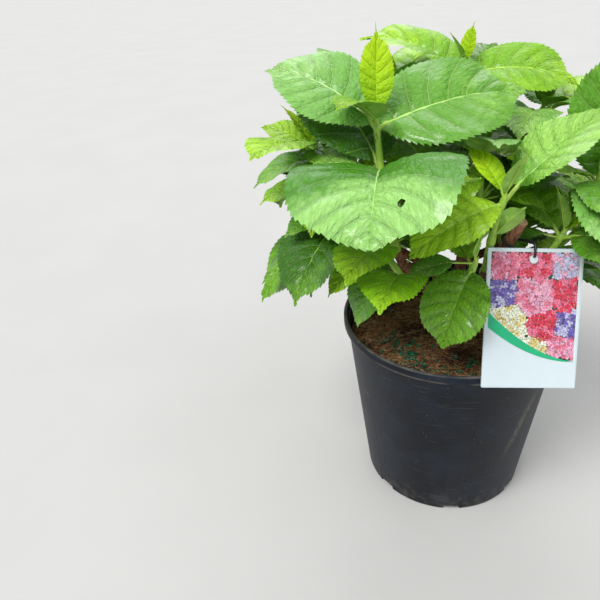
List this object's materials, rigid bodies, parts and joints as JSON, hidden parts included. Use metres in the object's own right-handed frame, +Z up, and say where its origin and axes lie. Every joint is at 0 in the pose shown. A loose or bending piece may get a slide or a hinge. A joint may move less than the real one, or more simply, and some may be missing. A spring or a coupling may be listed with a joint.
{
  "type": "potted hydrangea shrub",
  "caption": "Young leafy hydrangea shrub on woody stems in a tapered round nursery pot, with a picture tag tied to a pruned stem.",
  "frame": {"origin": "middle of the pot's flat underside", "axes": "+Z up, -Y towards the side where the tag hangs"},
  "size_m": [0.3515, 0.3416, 0.4348],
  "materials": {
    "pot": "smooth moulded, dusty",
    "mix": "crumbly",
    "mulch": "fibrous",
    "bark": "matte bark",
    "leaf": "satin, veined",
    "card": "printed card",
    "tie": "matte elastic"
  },
  "bodies": {
    "root": {"bough_back": "bark", "bough_back_left": "bark", "bough_back_low": "bark", "bough_back_right": "bark", "bough_centre": "bark", "bough_front_left": "bark", "bough_front_low": "bark", "bough_front_right": "bark", "bough_left": "bark", "bough_left_back": "bark", "bough_left_low": "bark", "bough_right": "bark", "bough_right_back": "bark", "bough_right_front": "bark", "bough_right_low": "bark", "bough_top": "bark", "coir_mulch": "mulch", "foliage_back": "leaf", "foliage_back_left": "leaf", "foliage_back_low": "leaf", "foliage_back_right": "leaf", "foliage_centre": "leaf", "foliage_front_left": "leaf", "foliage_front_low": "leaf", "foliage_front_right": "leaf", "foliage_left": "leaf", "foliage_left_back": "leaf", "foliage_left_low": "leaf", "foliage_right": "leaf", "foliage_right_back": "leaf", "foliage_right_front": "leaf", "foliage_right_low": "leaf", "foliage_top": "leaf", "picture_tag": "card", "pot": "pot", "potting_mix": "mix", "root_crown": "bark", "stem_back": "bark", "stem_back_left": "bark", "stem_front": "bark", "stem_left": "bark", "stem_right": "bark", "tag_tie": "tie"}
  },
  "joints": []
}
